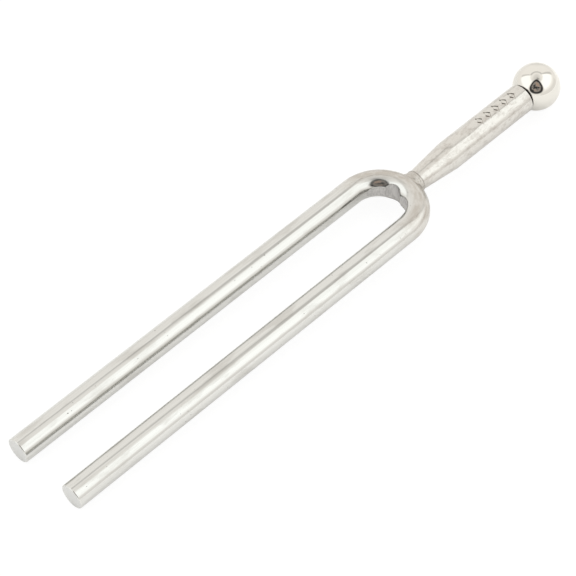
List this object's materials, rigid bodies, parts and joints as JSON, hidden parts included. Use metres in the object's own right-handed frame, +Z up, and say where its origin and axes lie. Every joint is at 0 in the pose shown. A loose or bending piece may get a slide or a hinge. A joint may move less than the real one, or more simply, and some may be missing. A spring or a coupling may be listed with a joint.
{
  "type": "tuning fork",
  "caption": "Slim pitch fork of round steel bar: long parallel tines, a bent crown, a tapered stem with punch marks, and a ball foot that unscrews.",
  "frame": {"origin": "outermost point of the ball foot, on the stem's axis", "axes": "+X along the stem, out through the ball; the tines point along -X; the tines lie side by side along Y; +Z is up when the fork lies flat, and is the face with the punch marks"},
  "size_m": [0.1322, 0.0192, 0.0096],
  "materials": {
    "tine_plating": "bright nickel plate over drawn bar, satin and finely pitted on the bend",
    "stem_plating": "satin nickel plate over a turned and linished stem",
    "ball_plating": "mirror-bright, slightly warm",
    "stud_steel": "plain turned steel"
  },
  "bodies": {
    "fork": {"tine_bar": "tine_plating", "stem": "stem_plating"},
    "stud": {"ball_stud": "stud_steel"},
    "ball": {"foot_ball": "ball_plating"}
  },
  "joints": [
    {"name": "ball_travel", "type": "slide", "parent": "fork", "child": "stud", "axis": [1, 0, 0], "range_m": [0, 0.0045]},
    {"name": "ball_turn", "type": "hinge", "parent": "stud", "child": "ball", "pos_m": [-0.00476, 0, 0], "axis": [1, 0, 0], "range_deg": [0, 3240]}
  ],
  "couplings": [
    {"joint": "ball_turn", "follows": "ball_travel", "rad_per_m": 12566}
  ]
}
